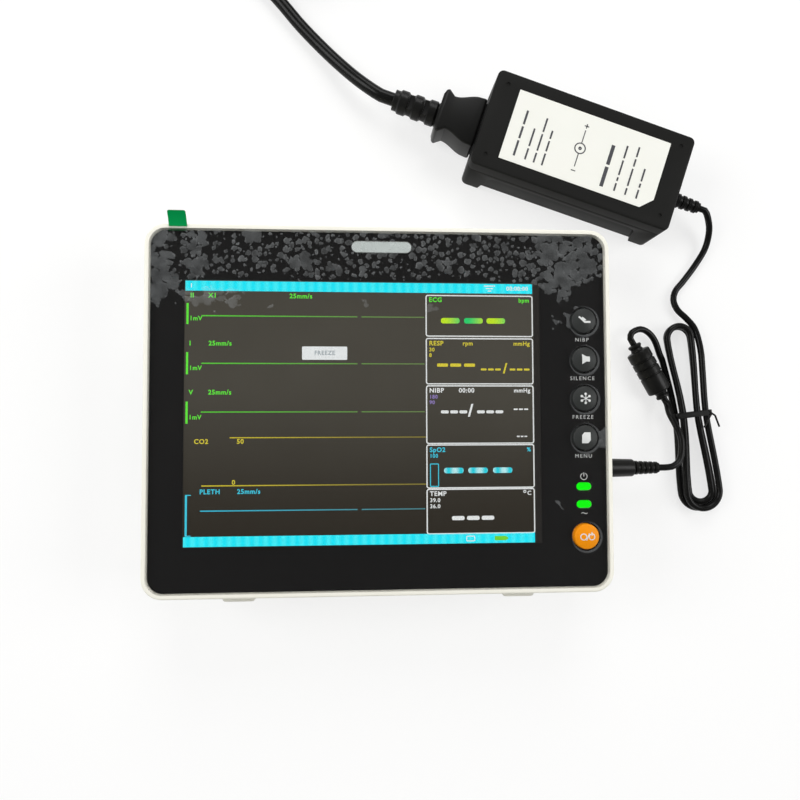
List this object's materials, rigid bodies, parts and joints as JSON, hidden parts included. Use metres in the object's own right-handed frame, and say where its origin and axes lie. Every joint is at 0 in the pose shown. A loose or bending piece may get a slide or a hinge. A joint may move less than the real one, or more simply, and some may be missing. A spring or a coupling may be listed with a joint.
{
  "type": "patient monitor",
  "caption": "Bedside patient monitor with a flat screen, a column of push keys, sensor sockets in its left side, and a mains adapter with coiled leads",
  "frame": {"origin": "Under the middle of the monitor's housing, on the table that its back lies on", "axes": "+X to the monitor's right, +Y to its top edge, +Z out of the screen"},
  "size_m": [0.2927, 0.4423, 0.0539],
  "materials": {
    "housing_cream": "fine satin moulding grain",
    "foot_cream": "matte",
    "clear_lens": "polished clear acrylic",
    "clear_film": "thin clear shipping film",
    "black_print": "black print behind the lens",
    "tab_green": "printed film",
    "lamp_green": "clear green light pipe",
    "alarm_clear": "frosted light bar",
    "key_grey": "matte silicone",
    "key_orange": "matte silicone",
    "screen_glass": "anti-glare screen",
    "sheet_steel": "plated sheet",
    "screw_steel": "zinc plated",
    "circuit_board": "solder mask",
    "battery_wrap": "heat-shrink sleeve",
    "pump_metal": "drawn can",
    "grey_plastic": "moulded",
    "silicone": "translucent tube",
    "speaker_black": "paper and plastic",
    "jack_black": "moulded",
    "cord_vinyl": "smooth flexible vinyl",
    "adapter_plastic": "fine spark-eroded grain",
    "label_white": "printed paper film"
  },
  "bodies": {
    "housing": {"front_frame": "housing_cream", "rear_cover": "housing_cream", "battery_door": "housing_cream", "foot_left": "foot_cream", "foot_right": "foot_cream", "front_lens": "clear_lens", "protective_film": "clear_film", "graphic_sheet": "black_print", "pull_tab": "tab_green", "power_lamp_lens": "lamp_green", "mains_lamp_lens": "lamp_green", "alarm_light_bar": "alarm_clear", "lcd_frame": "sheet_steel", "lcd_panel": "screen_glass", "chassis_plate": "sheet_steel", "main_board": "circuit_board", "measurement_board": "circuit_board", "key_board": "circuit_board", "power_board": "circuit_board", "adapter_board": "circuit_board", "case_screw_1": "screw_steel", "case_screw_2": "screw_steel", "case_screw_3": "screw_steel", "case_screw_4": "screw_steel", "door_screw_1": "screw_steel", "door_screw_2": "screw_steel", "battery_pack": "battery_wrap", "nibp_pump": "pump_metal", "nibp_valve": "grey_plastic", "air_tube_pump": "silicone", "air_tube_port": "silicone", "speaker": "speaker_black", "connector_panel": "grey_plastic", "nibp_port": "grey_plastic", "spo2_socket": "grey_plastic", "ecg_socket": "grey_plastic", "temp_socket": "grey_plastic", "dc_jack": "jack_black", "dc_plug": "cord_vinyl", "ferrite_core": "cord_vinyl", "dc_lead_plug_run": "cord_vinyl", "dc_hank": "cord_vinyl", "twist_tie": "cord_vinyl", "dc_lead_adapter_run": "cord_vinyl", "adapter_gland": "cord_vinyl", "mains_connector": "cord_vinyl", "mains_lead": "cord_vinyl", "mains_coil": "cord_vinyl", "coil_tie": "cord_vinyl", "mains_plug": "cord_vinyl", "adapter_base": "adapter_plastic", "adapter_cover": "adapter_plastic", "adapter_inlet": "adapter_plastic", "adapter_label": "label_white"},
    "nibp_key": {"nibp_button": "key_grey"},
    "silence_key": {"silence_button": "key_grey"},
    "freeze_key": {"freeze_button": "key_grey"},
    "menu_key": {"menu_button": "key_grey"},
    "power_key": {"power_button": "key_orange"}
  },
  "joints": [
    {"name": "nibp_press", "type": "slide", "parent": "housing", "child": "nibp_key", "axis": [0, 0, -1], "range_m": [0, 0.0008], "stiffness_N_per_m": 1500},
    {"name": "silence_press", "type": "slide", "parent": "housing", "child": "silence_key", "axis": [0, 0, -1], "range_m": [0, 0.0008], "stiffness_N_per_m": 1500},
    {"name": "freeze_press", "type": "slide", "parent": "housing", "child": "freeze_key", "axis": [0, 0, -1], "range_m": [0, 0.0008], "stiffness_N_per_m": 1500},
    {"name": "menu_press", "type": "slide", "parent": "housing", "child": "menu_key", "axis": [0, 0, -1], "range_m": [0, 0.0008], "stiffness_N_per_m": 1500},
    {"name": "power_press", "type": "slide", "parent": "housing", "child": "power_key", "axis": [0, 0, -1], "range_m": [0, 0.0008], "stiffness_N_per_m": 1500}
  ]
}
